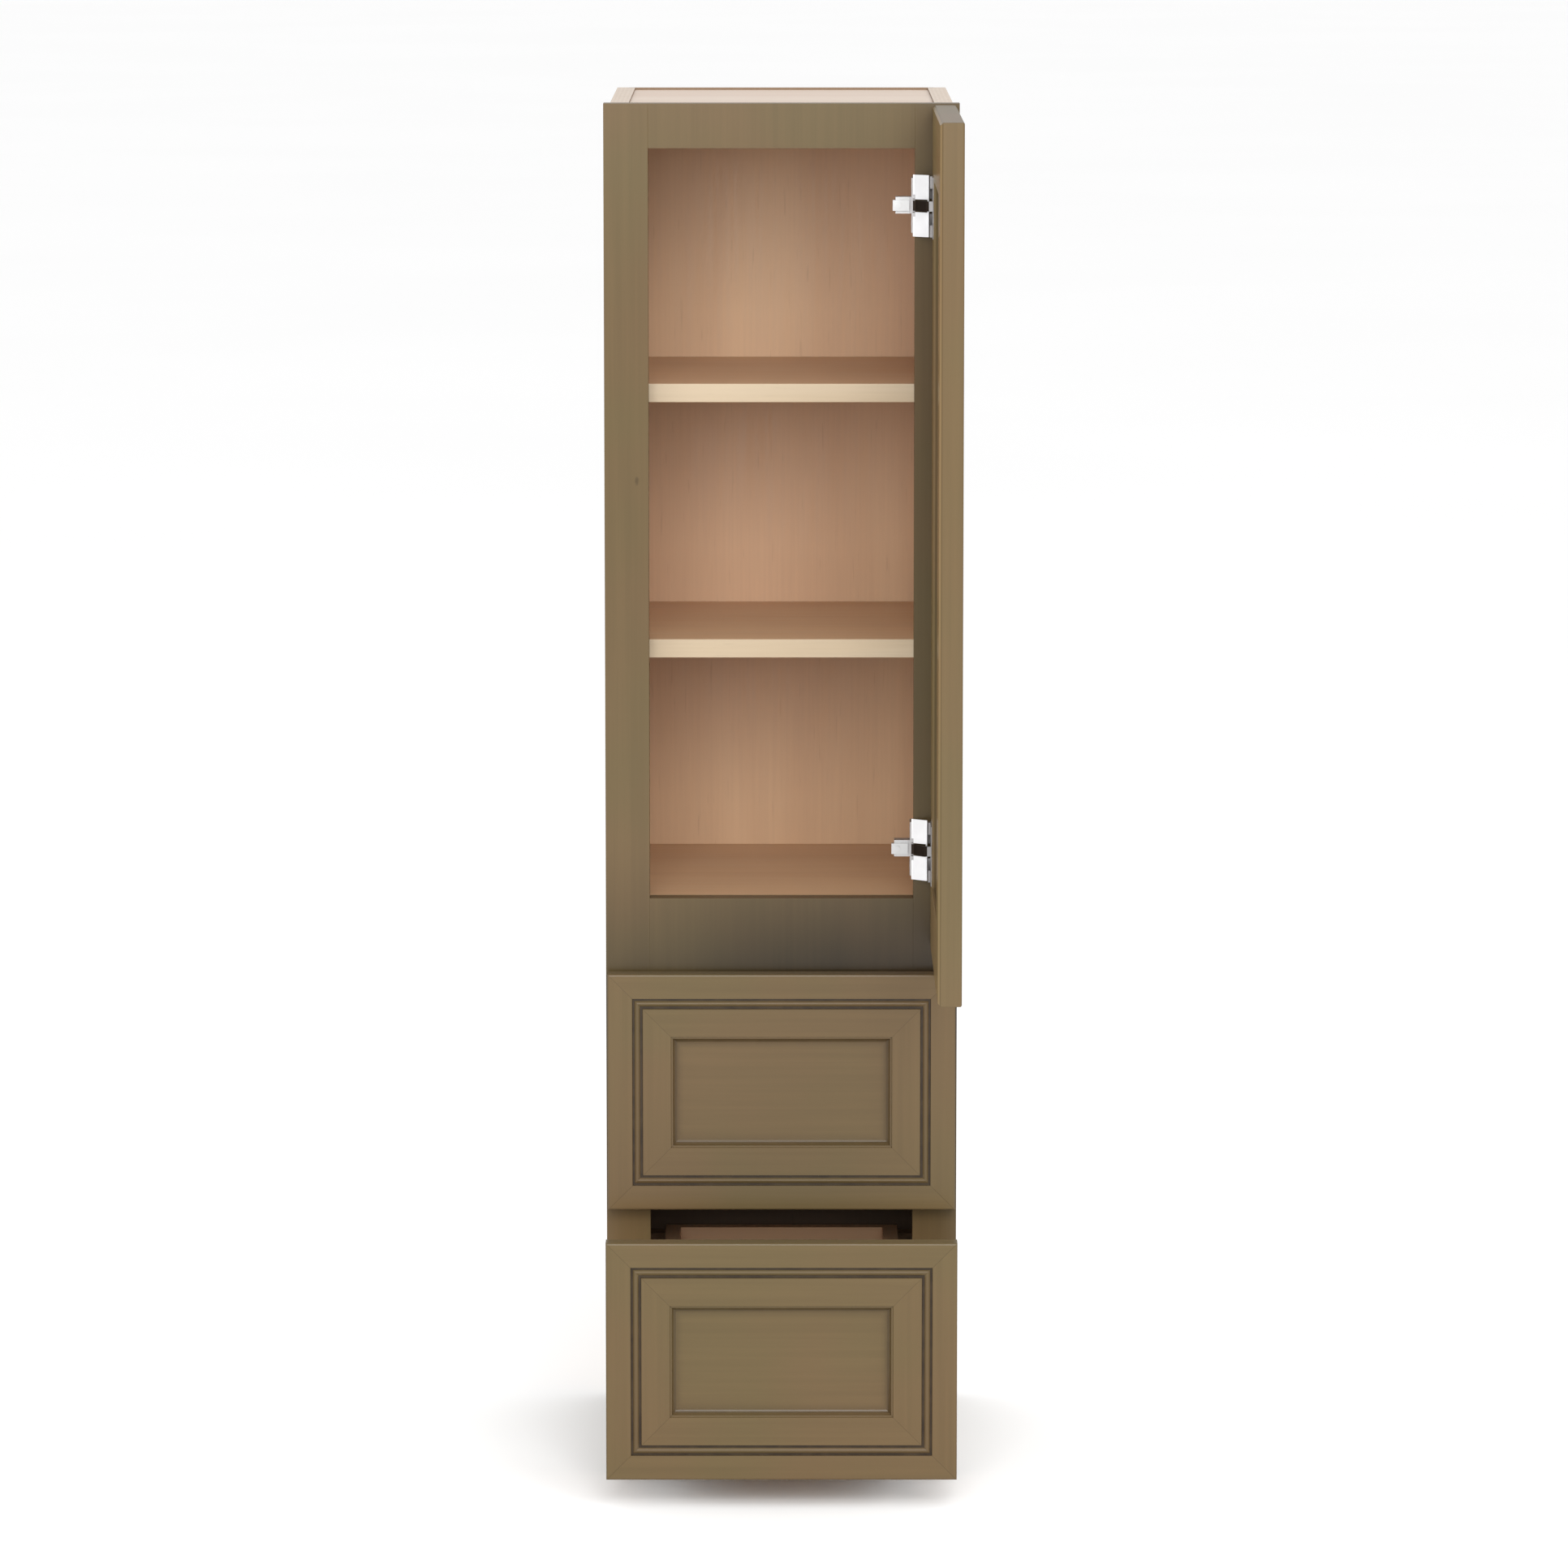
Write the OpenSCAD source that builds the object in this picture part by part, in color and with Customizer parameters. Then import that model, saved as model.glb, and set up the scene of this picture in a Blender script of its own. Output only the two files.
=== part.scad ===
// Framed pantry cabinet for a wall or a counter: one tall right-hung door over two drawers.
// The face frame, door and drawer fronts are solid wood. The carcass behind them is maple plywood.
// Origin: centre of the face frame's bottom edge, halfway through the frame's thickness.
// +Z is up and -Y is the front. The door stands open and the lower drawer is partly pulled out.

/* [Cabinet] */
// Overall height of the face frame
cabinet_h = 1200; // [1180:1:1230]
// Overall width of the face frame
cabinet_w = 304.8; // [300:0.1:320]
// Depth from the face frame's front to the back panel's rear
cabinet_d = 324; // [318:1:360]

/* [Face frame] */
// Thickness of the face frame
frame_t = 19; // [18:0.5:20]
// Width of each stile, and height of the top and bottom rails
stile_w = 38.1; // [36:0.1:40]
// Height of the middle rail, which the door and the upper drawer share
middle_rail_h = 99.8; // [90:0.1:110]
// Height of the middle rail's top edge above the base
middle_rail_top = 512.7; // [505:0.1:520]

/* [Carcass] */
// Thickness of the plywood panels and the shelves
ply_t = 16; // [15:0.5:17]
// Thickness of the back panel
back_t = 6; // [4:0.5:6]
// How far the carcass sides stand inside the face frame's outer edges
side_inset = 5.1; // [3:0.1:8]
// Height of the upper shelf's top face
shelf_upper_top = 957.25; // [900:0.25:1000]
// Height of the lower shelf's top face
shelf_lower_top = 735; // [700:0.25:760]
// Distance from the face frame's front to the shelves' front edges
shelf_setback = 33; // [25:1:60]

/* [Door] */
// Width of the door and of both drawer fronts
front_w = 301.5; // [298:0.1:304]
// Height of the door
door_h = 729; // [720:1:735]
// Height of the door's bottom edge above the base
door_bottom = 470; // [465:1:478]
// Thickness of the door and of both drawer fronts
front_t = 20; // [20:0.5:22]
// Angle that the door stands open
door_open = 90; // [0:1:105]

/* [Drawers] */
// Height of each drawer front
drawer_front_h = 207.3; // [200:0.1:212]
// Height of the upper drawer front's bottom edge
upper_front_bottom = 242; // [240:0.5:248]
// Height of the lower drawer front's bottom edge
lower_front_bottom = 25.5; // [20:0.5:27]
// How far the upper drawer is pulled out
upper_pull = 0; // [0:1:250]
// How far the lower drawer is pulled out
lower_pull = 100; // [0:1:250]
// Height of the drawer boxes
box_h = 140; // [110:1:145]
// Length of the drawer boxes
box_l = 270; // [260:1:272]

/* [Hidden] */
$fn = 48;

PAINT = [0.51, 0.45, 0.34];
MAPLE = [0.72, 0.56, 0.42];
RAW_MAPLE = [0.88, 0.80, 0.70];
NICKEL = [0.90, 0.90, 0.90];
BLACK_STEEL = [0.16, 0.14, 0.12];
ZINC = [0.72, 0.74, 0.76];
NYLON = [0.80, 0.80, 0.78];

// Face frame
front_y = -frame_t / 2;
frame_back_y = frame_t / 2;
opening_w = cabinet_w - 2 * stile_w;
opening_edge = opening_w / 2;
rail_tenon_l = 10;
rail_tenon_t = 8;
rail_shoulder = 6;
top_rail_z = cabinet_h - stile_w;
middle_rail_z = middle_rail_top - middle_rail_h;

// Carcass
side_outer = cabinet_w / 2 - side_inset;
side_inner = side_outer - ply_t;
rear_y = front_y + cabinet_d;
back_y = rear_y - back_t;
carcass_top = cabinet_h - 1;
top_recess = 2;
dado = 6;
panel_half = side_inner + dado;
top_panel_z = carcass_top - top_recess - ply_t;
floor_z = middle_rail_top - ply_t;
bottom_z = stile_w - ply_t;
hanging_rail_t = 19;
hanging_rail_upper_h = 35;
hanging_rail_lower_h = 76;
hanging_rail_lower_z = 79;
shelf_gap = 0.8;

// Shelf pins stand in two columns of holes in each side.
pin_r = 2.5;
pin_hole_r = 2.6;
pin_depth = 9;
pin_pitch = 31.75;
pin_columns = [front_y + shelf_setback + 30, back_y - 45];
first_pin_z = shelf_lower_top - ply_t - pin_r;
pin_rows = [-2:9];

// Fronts. The profile runs from the outer edge inwards, and its depth from the face backwards.
front_gap = 3;
door_back_y = front_y - front_gap;
door_face_y = door_back_y - front_t;
member_w = 61.5;
edge_r = 1.5;
back_chamfer = 2.5;
bead_band = 21.3;
bead_w = 9.2;
bead_groove = 1.6;
inner_step = 54.8;
panel_recess = 7;
panel_t = 6;
panel_groove = 8;
panel_play = 0.5;

// Hinges. One pin per hinge stands for the linkage's path, and the plate link folds with it.
hinge_from_end = 86;
hinge_heights = [door_bottom + hinge_from_end, door_bottom + door_h - hinge_from_end];
pin_from_edge = 9.8;
pin_from_back = 11.8;
hinge_x = front_w / 2 - pin_from_edge;
hinge_y = door_back_y - pin_from_back;
hinge_pin_r = 1;
hinge_eye_r = 1.7;
hinge_running = 0.06;
cup_centre_x = front_w / 2 - 22.5;
cup_bore_r = 17.5;
cup_bore_depth = 14.5;
cup_outer_r = 17.4;
cup_inner_r = 16.7;
cup_floor = 0.6;
cup_notch = 2;
flange_half_h = 26;
flange_t = 0.6;
pad_t = 2.4;
pad_start = cup_centre_x + 5.75;
pad_end = cup_centre_x + 15.4;
pad_low = 6;
cup_screw_x = front_w / 2 - 12;
cup_screw_spread = 19;
cup_screw_r = 1.5;
cup_screw_head_r = 2.8;
ear_t = 2.4;
ear_centre_z = 6.4;
base_plate_t = 3;
base_plate_half_h = 23.5;
housing_reach = 16.6;
housing_half_h = 7.1;
cover_reach = 19;
cover_half_h = 4.6;
base_screw_spread = 16;
base_screw_r = 1.55;
base_screw_head_r = 3.1;
arm_half_h = 4.3;
arm_t = 1.6;
link_x = opening_edge - 1.1;
link_y = front_y - 1.1;
link_l = 16;
link_t = 1;
link_half_h = 26.5;
link_window_half_h = 5.45;
link_knuckle_r = 0.85;
link_pin_r = 0.45;
link_play = 0.07;
link_lug_low = 5.6;
link_lug_top = 9;
link_ratio = 0.4;

// Drawer boxes and their undermount slides
box_outer = 103.5;
box_side_t = 13.3;
box_inner = box_outer - box_side_t;
box_end_t = 13;
box_top_drop = 42.5;
box_lift = drawer_front_h - box_top_drop - box_h;
box_groove = 6;
box_bottom_z = 12.7;
box_bottom_t = 6;
slide_start = front_y + 3.5;
slide_end = 286;
slide_wall = 1.4;
track_inner = 80;
track_z = [-11.5, -6];
track_flange_top = 14;
middle_x = [84, 108];
middle_z = [-9.6, -3.4];
middle_l = 244;
runner_x = [86.2, 105.8];
runner_drop = 7.4;
runner_start = slide_start + 8;
bracket_y = slide_end - 10;
bracket_half_h = 10;
hook_x = box_inner - 4.2;
hook_z = 6;
hook_r = 2.6;
hook_play = 0.4;
front_screw_x = 60;
front_screw_r = 2;
front_screw_head = [4, 1.8];
front_screw_heights = [24, 133];
clip_l = 34;
clip_grip_x = 58;
clip_grip_r = 7;
clip_grip_t = 3;

// Box between two opposite corners
module block(low, high) {
    translate(low)
        cube(high - low);
}

// Extrudes a section drawn in X and Z along Y
module along_y(low, high) {
    translate([0, high, 0])
        rotate([90, 0, 0])
            linear_extrude(height = high - low)
                children();
}

// Draws its children on the right and again mirrored to the left
module both_sides() {
    children();
    mirror([1, 0, 0])
        children();
}

// Rectangle between two opposite corners
module area(low, high) {
    translate(low)
        square(high - low);
}

// Straight strip of sheet metal between two points, seen from above
module strip(start, end, thickness) {
    run = end - start;
    translate(start)
        rotate(atan2(run[1], run[0]))
            translate([0, -thickness / 2])
                square([norm(run), thickness]);
}

// ---------- Face frame ----------

module rail_tenons(low_z, height) {
    for (side = [-1, 1])
        translate([side * (opening_edge + rail_tenon_l / 2), 0, low_z + height / 2])
            cube([rail_tenon_l, rail_tenon_t, height - 2 * rail_shoulder], center = true);
}

module frame_stile(side) {
    inner = side * opening_edge;
    outer = side * cabinet_w / 2;
    color(PAINT)
        difference() {
            block([min(inner, outer), front_y, 0], [max(inner, outer), frame_back_y, cabinet_h]);
            rail_tenons(0, stile_w);
            rail_tenons(middle_rail_z, middle_rail_h);
            rail_tenons(top_rail_z, stile_w);
            if (side > 0)
                hinge_base_screw_places()
                    cylinder(r = base_screw_r + 0.05, h = 22);
        }
}

module frame_rail(low_z, height) {
    color(PAINT) {
        block([-opening_edge, front_y, low_z], [opening_edge, frame_back_y, low_z + height]);
        rail_tenons(low_z, height);
    }
}

// ---------- Carcass ----------

module side_panel(side) {
    inner = side * side_inner;
    outer = side * side_outer;
    color(MAPLE)
        difference() {
            block([min(inner, outer), frame_back_y, 0], [max(inner, outer), rear_y, carcass_top]);
            for (low_z = [top_panel_z, floor_z, bottom_z])
                block([-panel_half, frame_back_y, low_z], [panel_half, back_y, low_z + ply_t]);
            block([-panel_half, back_y, 0], [panel_half, rear_y, carcass_top]);
            for (y = pin_columns, row = pin_rows)
                translate([inner, y, first_pin_z + row * pin_pitch])
                    rotate([0, 90 * side, 0])
                        cylinder(r = pin_hole_r, h = pin_depth + 1);
        }
}

module across_panel(low_z) {
    block([-panel_half, frame_back_y, low_z], [panel_half, back_y, low_z + ply_t]);
}

module top_panel() {
    color(RAW_MAPLE)
        across_panel(top_panel_z);
}

module floor_panel() {
    color(MAPLE)
        across_panel(floor_z);
}

module bottom_panel() {
    color(MAPLE)
        across_panel(bottom_z);
}

module back_panel() {
    color(MAPLE)
        block([-panel_half, back_y, 0], [panel_half, rear_y, carcass_top]);
}

module hanging_rail(low_z, height) {
    color(MAPLE)
        block([-side_inner, back_y - hanging_rail_t, low_z], [side_inner, back_y, low_z + height]);
}

module shelf(top_z) {
    half = side_inner - shelf_gap;
    color(MAPLE)
        block([-half, front_y + shelf_setback, top_z - ply_t], [half, back_y - 1, top_z]);
}

// A peg in the side and a flat lip under the shelf
module shelf_pins() {
    color(ZINC)
        for (top_z = [shelf_lower_top, shelf_upper_top], y = pin_columns)
            translate([0, y, top_z - ply_t])
                both_sides() {
                    translate([side_inner, 0, -pin_r])
                        rotate([0, 90, 0])
                            cylinder(r = pin_r, h = pin_depth);
                    block([side_inner - 9, -4, -1.6], [side_inner, 4, 0]);
                    block([side_inner - 1.4, -4, -8], [side_inner, 4, 0]);
                }
}

// ---------- Door and drawer fronts ----------

// Outer edge, flat band, bead between two grooves, flat, cove down to the panel, panel groove, back
function front_profile() = [
    for (a = [0:30:90]) [edge_r * (1 - cos(a)), edge_r * (1 - sin(a))],
    [bead_band, 0],
    [bead_band + 0.4, bead_groove],
    [bead_band + 2, bead_groove],
    for (t = [0:0.125:1]) [bead_band + 2.4 + 4 * t, 1.3 - 1.1 * sin(180 * t)],
    [bead_band + 6.8, bead_groove],
    [bead_band + bead_w - 0.4, bead_groove],
    [bead_band + bead_w, 0],
    [inner_step, 0],
    [inner_step + 0.4, 1.5],
    for (a = [0:15:90]) [inner_step + 1.8 + 4.9 * (1 - cos(a)), 1.5 + 5.1 * sin(a)],
    [member_w, panel_recess],
    [member_w - panel_groove, panel_recess],
    [member_w - panel_groove, panel_recess + panel_t],
    [member_w, panel_recess + panel_t],
    [member_w, front_t],
    [back_chamfer, front_t],
    [0, front_t - back_chamfer]
];

// One member of a mitred frame, standing up with its outer edge at X = 0 and its face at Y = 0
module front_member(length) {
    intersection() {
        linear_extrude(height = length)
            polygon(front_profile());
        along_y(-1, front_t + 1)
            polygon([[0, 0], [member_w, member_w], [member_w, length - member_w], [0, length]]);
    }
}

module front_stile(side, height) {
    mirror([side > 0 ? 1 : 0, 0, 0])
        translate([-front_w / 2, door_face_y, 0])
            front_member(height);
}

module front_rail_bottom() {
    translate([-front_w / 2, door_face_y, 0])
        mirror([1, 0, -1])
            front_member(front_w);
}

module front_rail_top(height) {
    translate([0, 0, height])
        mirror([0, 0, 1])
            front_rail_bottom();
}

module front_panel(height) {
    edge = member_w - panel_groove + panel_play;
    face_y = door_face_y + panel_recess;
    block([edge - front_w / 2, face_y, edge], [front_w / 2 - edge, face_y + panel_t, height - edge]);
}

// ---------- Door ----------

// Turns a part drawn on the closed door to where the door stands
module on_door() {
    translate([hinge_x, hinge_y, 0])
        rotate([0, 0, door_open])
            translate([-hinge_x, -hinge_y, 0])
                children();
}

module at_hinges() {
    for (z = hinge_heights)
        translate([0, 0, z])
            children();
}

module cup_screw_places() {
    for (side = [-1, 1])
        translate([cup_screw_x, door_back_y, side * cup_screw_spread])
            rotate([90, 0, 0])
                children();
}

module door_stile_hinge() {
    color(PAINT)
        difference() {
            translate([0, 0, door_bottom])
                front_stile(1, door_h);
            at_hinges() {
                translate([cup_centre_x, door_back_y, 0])
                    rotate([90, 0, 0])
                        cylinder(r = cup_bore_r, h = cup_bore_depth);
                cup_screw_places()
                    cylinder(r = cup_screw_r + 0.1, h = 12);
            }
        }
}

module door_stile_latch() {
    color(PAINT)
        translate([0, 0, door_bottom])
            front_stile(-1, door_h);
}

module door_rail_top() {
    color(PAINT)
        translate([0, 0, door_bottom])
            front_rail_top(door_h);
}

module door_rail_bottom() {
    color(PAINT)
        translate([0, 0, door_bottom])
            front_rail_bottom();
}

module door_panel() {
    color(PAINT)
        translate([0, 0, door_bottom])
            front_panel(door_h);
}

// ---------- Hinges ----------

// Shallow tin that fills the bore in the door
module cup_shell() {
    rotate([90, 0, 0])
        difference() {
            cylinder(r = cup_outer_r, h = cup_bore_depth - 0.1);
            translate([0, 0, -1])
                cylinder(r = cup_inner_r, h = cup_bore_depth + 0.9 - cup_floor);
        }
}

// Flange on the door's back and the two thick pads that take the screws
module cup_flange() {
    difference() {
        union() {
            block([cup_centre_x - 18, door_back_y, -flange_half_h],
                  [cup_centre_x + 17.8, door_back_y + flange_t, flange_half_h]);
            for (side = [0, 1])
                mirror([0, 0, side])
                    block([pad_start, door_back_y, pad_low], [pad_end, door_back_y + pad_t, flange_half_h]);
        }
        translate([cup_centre_x, door_back_y + pad_t + 1, 0])
            rotate([90, 0, 0])
                cylinder(r = cup_inner_r, h = pad_t + 2);
    }
}

// Pressed cup in the door: flange, pads, ears that hold the pin, and a notch that lets the arm in
module hinge_cup() {
    color(NICKEL)
        difference() {
            union() {
                translate([cup_centre_x, door_back_y, 0])
                    cup_shell();
                cup_flange();
                for (side = [-1, 1])
                    translate([hinge_x, hinge_y, side * ear_centre_z])
                        block([-2, -2.5, -ear_t / 2], [2.5, 2.2, ear_t / 2]);
            }
            block([cup_centre_x + 10, door_back_y - cup_notch, -arm_half_h - 0.6],
                  [cup_centre_x + 19, door_back_y + pad_t, arm_half_h + 0.6]);
            translate([hinge_x, hinge_y, -10])
                cylinder(r = hinge_pin_r + 0.03, h = 20);
            cup_screw_places()
                translate([0, 0, -pad_t - 1]) {
                    cylinder(r = cup_screw_r + 0.1, h = pad_t + 2);
                    cylinder(r = cup_screw_head_r + 0.2, h = 2.2);
                }
        }
}

module hinge_cup_screws() {
    color(BLACK_STEEL)
        at_hinges()
            cup_screw_places()
                translate([0, 0, 0.4 - pad_t]) {
                    cylinder(r = cup_screw_head_r, h = 0.8);
                    cylinder(r = cup_screw_r, h = pad_t + 10);
                }
}

module hinge_pins() {
    color(ZINC)
        at_hinges()
            translate([hinge_x, hinge_y, -ear_centre_z - ear_t / 2])
                cylinder(r = hinge_pin_r, h = 2 * ear_centre_z + ear_t);
}

module hinge_base_screw_places() {
    at_hinges()
        for (side = [-1, 1])
            translate([opening_edge, 0, side * base_screw_spread])
                rotate([0, 90, 0])
                    children();
}

// Cranked arm, drawn from above: along the stile's corner, forwards, then into the cup
module arm_outline() {
    near = [opening_edge + 0.9, front_y - 1.7];
    far = [opening_edge + 10.2, front_y - 15.4];
    pin = [hinge_x, hinge_y];
    area([opening_edge - 1.9, front_y - 2.5], [opening_edge - 0.1, front_y + 3]);
    area([opening_edge - 1, front_y - 2.5], [opening_edge + 0.9, front_y - 0.9]);
    strip(near, far, arm_t);
    strip(far, pin, arm_t);
    for (bend = [near, far])
        translate(bend)
            circle(d = arm_t + 0.3);
    translate(pin)
        circle(r = hinge_eye_r);
}

// Lugs and pins at the stile's corner on which the link plates fold
module link_lugs() {
    for (side = [0, 1])
        mirror([0, 0, side])
            translate([link_x, link_y, 0]) {
                block([-0.9, -link_knuckle_r, link_lug_low], [0.9, front_y + 1 - link_y, link_lug_top]);
                translate([0, 0, link_lug_top - 1])
                    cylinder(r = link_pin_r, h = link_half_h - link_lug_top + 1);
            }
}

// Plate on the stile's inner edge with the arm's housing and its adjusting screw
module hinge_plate() {
    rear = frame_back_y - 0.2;
    translate([opening_edge, 0, 0]) {
        block([-base_plate_t, front_y + 0.2, -base_plate_half_h], [0, rear, base_plate_half_h]);
        block([-housing_reach, front_y + 4, -housing_half_h], [-base_plate_t, rear - 0.8, housing_half_h]);
        block([-cover_reach, front_y + 0.5, -cover_half_h], [-4.8, front_y + 6, cover_half_h]);
        translate([-14, front_y + 0.5, 0])
            rotate([90, 0, 0])
                cylinder(r = 2.6, h = 0.9);
    }
}

module hinge_base() {
    difference() {
        union() {
            color(NICKEL) {
                hinge_plate();
                link_lugs();
            }
            color(BLACK_STEEL)
                translate([0, 0, -arm_half_h])
                    linear_extrude(height = 2 * arm_half_h)
                        arm_outline();
        }
        translate([hinge_x, hinge_y, -arm_half_h - 1])
            cylinder(r = hinge_pin_r + hinge_running, h = 2 * arm_half_h + 2);
        for (side = [-1, 1])
            translate([opening_edge, 0, side * base_screw_spread])
                rotate([0, -90, 0]) {
                    translate([0, 0, -1])
                        cylinder(r = base_screw_r + 0.25, h = 5);
                    translate([0, 0, 1.4])
                        cylinder(r = base_screw_head_r + 0.2, h = 3);
                }
    }
}

module hinge_base_screws() {
    color(ZINC)
        hinge_base_screw_places() {
            translate([0, 0, -2.7])
                cylinder(r = base_screw_head_r, h = 1.2);
            translate([0, 0, -2])
                cylinder(r = base_screw_r, h = 22);
        }
}

// Link plate round a window for the arm, standing on its knuckles
module link_plate() {
    block([1.7, -link_t / 2, link_window_half_h], [link_l, link_t / 2, link_lug_top + 1]);
    block([link_l - 1.5, -link_t / 2, -1], [link_l, link_t / 2, link_window_half_h]);
    difference() {
        union() {
            block([0, -link_t / 2, link_lug_top + 0.3], [link_l, link_t / 2, link_half_h]);
            translate([0, 0, link_lug_top + 0.3])
                cylinder(r = link_knuckle_r, h = link_half_h - link_lug_top - 0.3);
        }
        cylinder(r = link_pin_r + link_play, h = link_half_h + 1);
    }
}

// One folding plate per hinge swings out from the stile's corner as the door turns
module hinge_links() {
    color(NICKEL)
        at_hinges()
            translate([link_x, link_y, 0])
                rotate([0, 0, -link_ratio * door_open])
                    for (side = [0, 1])
                        mirror([0, 0, side])
                            link_plate();
}

// ---------- Drawers ----------

module at_upper_drawer() {
    translate([0, -upper_pull, upper_front_bottom])
        children();
}

module at_lower_drawer() {
    translate([0, -lower_pull, lower_front_bottom])
        children();
}

// Draws its children once for each drawer height, at the box's bottom edge, in the cabinet
module at_both_slides() {
    for (z = [upper_front_bottom, lower_front_bottom])
        translate([0, 0, z + box_lift])
            children();
}

module drawer_stile(side) {
    color(PAINT)
        front_stile(side, drawer_front_h);
}

module drawer_rail_top() {
    color(PAINT)
        difference() {
            front_rail_top(drawer_front_h);
            front_screw_holes();
        }
}

module drawer_rail_bottom() {
    color(PAINT)
        difference() {
            front_rail_bottom();
            front_screw_holes();
        }
}

module drawer_panel() {
    color(PAINT)
        front_panel(drawer_front_h);
}

module front_screw_places() {
    for (x = [-front_screw_x, front_screw_x], z = front_screw_heights)
        translate([x, door_back_y + box_end_t, box_lift + z])
            rotate([90, 0, 0])
                children();
}

module front_screw_holes() {
    front_screw_places()
        translate([0, 0, -1])
            cylinder(r = front_screw_r + 0.1, h = box_end_t + 14);
}

module front_screws() {
    color(ZINC)
        front_screw_places() {
            translate([0, 0, -front_screw_head[1]])
                cylinder(r = front_screw_head[0], h = front_screw_head[1]);
            cylinder(r = front_screw_r, h = box_end_t + 12);
        }
}

// The groove that all four sides of a box share, round its bottom
module box_bottom_space() {
    half = box_inner + box_groove;
    y_low = door_back_y + box_end_t - box_groove;
    y_high = door_back_y + box_l - box_end_t + box_groove;
    block([-half, y_low, box_bottom_z], [half, y_high, box_bottom_z + box_bottom_t]);
}

module box_side(side) {
    inner = side * box_inner;
    outer = side * box_outer;
    color(MAPLE)
        translate([0, 0, box_lift])
            difference() {
                block([min(inner, outer), door_back_y, 0], [max(inner, outer), door_back_y + box_l, box_h]);
                box_bottom_space();
            }
}

module box_end(low_y) {
    translate([0, 0, box_lift])
        difference() {
            block([-box_inner, low_y, 0], [box_inner, low_y + box_end_t, box_h]);
            box_bottom_space();
        }
}

module box_front() {
    color(MAPLE)
        difference() {
            box_end(door_back_y);
            front_screw_holes();
        }
}

// Box back with a hole at each side for the runner's hook
module box_back() {
    color(MAPLE)
        difference() {
            box_end(door_back_y + box_l - box_end_t);
            both_sides()
                translate([hook_x, door_back_y + box_l + 1, box_lift + hook_z])
                    rotate([90, 0, 0])
                        cylinder(r = hook_r + hook_play, h = box_end_t + 2);
        }
}

module box_bottom() {
    color(MAPLE)
        translate([0, 0, box_lift])
            box_bottom_space();
}

// Outer channel with a tall flange that screws to the frame's opening
module slide_cabinet_members() {
    color(ZINC)
        at_both_slides()
            both_sides()
                along_y(slide_start, slide_end) {
                    area([track_inner, track_z[0]], [opening_edge, track_z[0] + slide_wall]);
                    area([track_inner, track_z[0]], [track_inner + slide_wall, track_z[1]]);
                    area([opening_edge - slide_wall, track_z[0]], [opening_edge, track_flange_top]);
                }
}

// Socket that carries the rear end of a cabinet member on the back panel
module slide_rear_brackets() {
    color(NYLON)
        at_both_slides()
            both_sides() {
                block([track_inner + slide_wall, bracket_y, track_z[0] + slide_wall],
                      [opening_edge - slide_wall, back_y, bracket_half_h]);
                block([track_inner - 4, back_y - 3, track_z[0] + slide_wall], [opening_edge + 4, back_y, 22]);
            }
}

// Middle channel, which travels half as far as the drawer
module slide_middles(pull) {
    start = slide_start + 1;
    color(ZINC)
        translate([0, -pull / 2, box_lift])
            both_sides()
                along_y(start, start + middle_l) {
                    area([middle_x[0], middle_z[0]], [middle_x[1], middle_z[0] + slide_wall]);
                    area([middle_x[0], middle_z[0]], [middle_x[0] + slide_wall, middle_z[1]]);
                    area([middle_x[1] - slide_wall, middle_z[0]], [middle_x[1], middle_z[1]]);
                }
}

// Runner under each box side. Its rear end turns up behind the box back and hooks into it.
module slide_runners() {
    box_rear = door_back_y + box_l;
    color(ZINC)
        translate([0, 0, box_lift])
            both_sides() {
                along_y(runner_start, box_rear + slide_wall) {
                    area([runner_x[0], -slide_wall], [runner_x[1], 0]);
                    area([runner_x[0], -runner_drop], [runner_x[0] + slide_wall, -slide_wall]);
                    area([runner_x[1] - slide_wall, -runner_drop], [runner_x[1], -slide_wall]);
                }
                block([hook_x - 3, box_rear, -slide_wall], [hook_x + 4, box_rear + slide_wall, hook_z + 4]);
                translate([hook_x, box_rear, hook_z])
                    rotate([90, 0, 0])
                        cylinder(r = hook_r, h = box_end_t - 3);
            }
}

// Clips under the front corners hold the box down on its runners
module locking_clips() {
    low_y = door_back_y + box_end_t;
    body_x = clip_grip_x + 8;
    grip_y = low_y + 9;
    color(NYLON)
        translate([0, 0, box_lift])
            both_sides() {
                block([body_x, low_y, 3], [box_inner - 0.2, low_y + clip_l, box_bottom_z]);
                translate([0, grip_y, 4]) {
                    block([clip_grip_x, -clip_grip_r, 0], [body_x, clip_grip_r, clip_grip_t]);
                    translate([clip_grip_x, 0, 0])
                        cylinder(r = clip_grip_r, h = clip_grip_t);
                }
            }
}

frame_stile(-1);  // frame_stile_left
frame_stile(1);  // frame_stile_right
frame_rail(top_rail_z, stile_w);  // frame_rail_top
frame_rail(middle_rail_z, middle_rail_h);  // frame_rail_middle
frame_rail(0, stile_w);  // frame_rail_bottom
side_panel(-1);  // side_panel_left
side_panel(1);  // side_panel_right
top_panel();
floor_panel();
bottom_panel();
back_panel();
hanging_rail(top_panel_z - hanging_rail_upper_h, hanging_rail_upper_h);  // hanging_rail_upper
hanging_rail(hanging_rail_lower_z, hanging_rail_lower_h);  // hanging_rail_lower
shelf(shelf_upper_top);  // shelf_upper
shelf(shelf_lower_top);  // shelf_lower
shelf_pins();
translate([0, 0, hinge_heights[1]]) hinge_base();  // hinge_base_upper
translate([0, 0, hinge_heights[0]]) hinge_base();  // hinge_base_lower
hinge_base_screws();
hinge_links();
slide_cabinet_members();
slide_rear_brackets();
on_door() door_stile_hinge();
on_door() door_stile_latch();
on_door() door_rail_top();
on_door() door_rail_bottom();
on_door() door_panel();
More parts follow.
